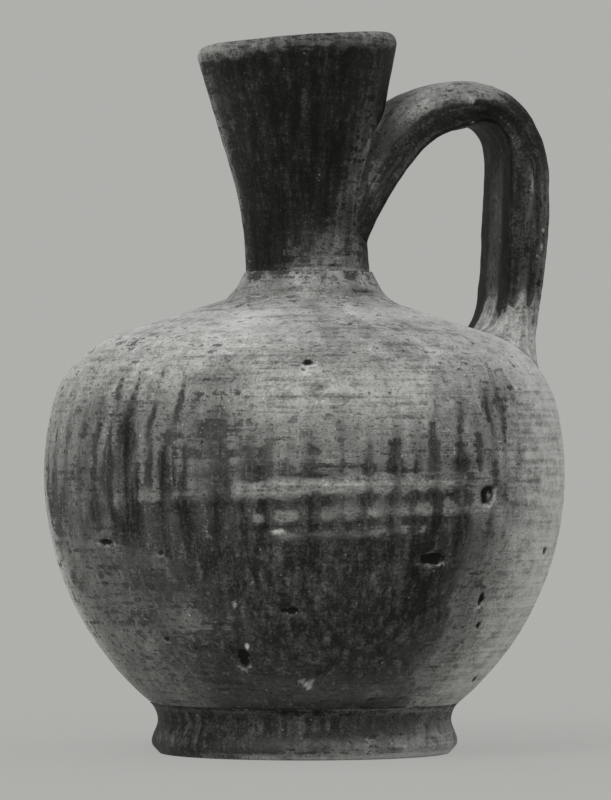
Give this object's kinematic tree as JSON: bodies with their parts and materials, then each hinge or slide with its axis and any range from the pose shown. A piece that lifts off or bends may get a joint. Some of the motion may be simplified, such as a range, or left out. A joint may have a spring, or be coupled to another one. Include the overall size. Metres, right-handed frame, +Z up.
{
  "type": "jug",
  "caption": "Wheel-thrown clay jug with a rounded belly, a flaring open neck, a low foot ring and a looped strap handle luted from the neck to the shoulder.",
  "frame": {"origin": "centre of the foot ring's resting face", "axes": "+Z up along the axis of the body, +X from that axis toward the handle"},
  "size_m": [0.146, 0.146, 0.2016],
  "materials": {
    "belly_clay": "matt dark slip with drips and wheel marks, worn off to bare clay on the shoulder",
    "slipped_clay": "matt dark slip, worn along the edges and the lip",
    "worn_clay": "bare clay with worn and mottled slip",
    "foot_clay": "matt dark slip, rubbed along the resting edge"
  },
  "bodies": {
    "root": {"body": "belly_clay", "neck": "slipped_clay", "neck_collar": "worn_clay", "foot_ring": "foot_clay", "handle": "slipped_clay", "handle_upper_luting": "slipped_clay", "handle_lower_luting": "worn_clay"}
  },
  "joints": []
}
